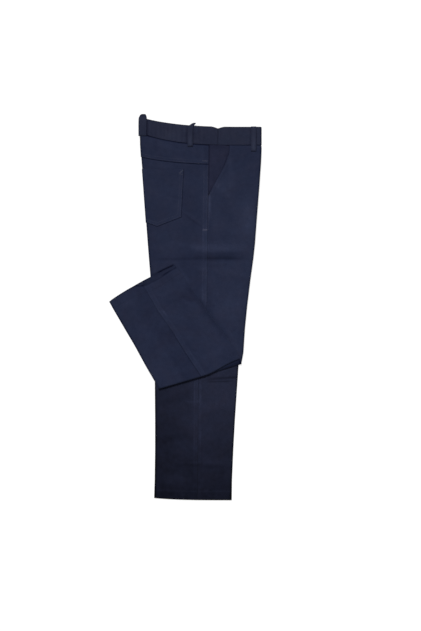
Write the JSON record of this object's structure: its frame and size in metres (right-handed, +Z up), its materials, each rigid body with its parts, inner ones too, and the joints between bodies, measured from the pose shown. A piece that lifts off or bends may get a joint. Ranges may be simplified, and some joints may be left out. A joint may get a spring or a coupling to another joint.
{
  "type": "elastic waist trousers",
  "caption": "Navy twill trousers with an elasticated back waistband, laid flat on one side with one leg turned up at the knee.",
  "frame": {"origin": "middle of the outline as the trousers lie, on the surface that they lie on", "axes": "+X from the centre back fold to the centre front fold, +Y from the hem to the waist, +Z up from the surface"},
  "size_m": [0.3786, 0.9554, 0.0134],
  "materials": {
    "twill": "navy cotton twill, slightly worn to a sheen on the seams",
    "band_twill": "navy cotton twill, double",
    "elastic_band": "navy cotton twill gathered on elastic"
  },
  "bodies": {
    "root": {"right_front_panel": "twill", "right_back_panel": "twill", "left_front_panel": "twill", "left_back_panel": "twill", "right_yoke": "twill", "left_yoke": "twill", "right_pocket_facing": "twill", "right_patch_pocket": "twill", "waistband_back": "elastic_band", "waistband_front_right": "band_twill", "waistband_front_left": "band_twill", "belt_loop_centre_back": "band_twill", "belt_loop_side_back": "band_twill", "belt_loop_front": "band_twill"}
  },
  "joints": []
}
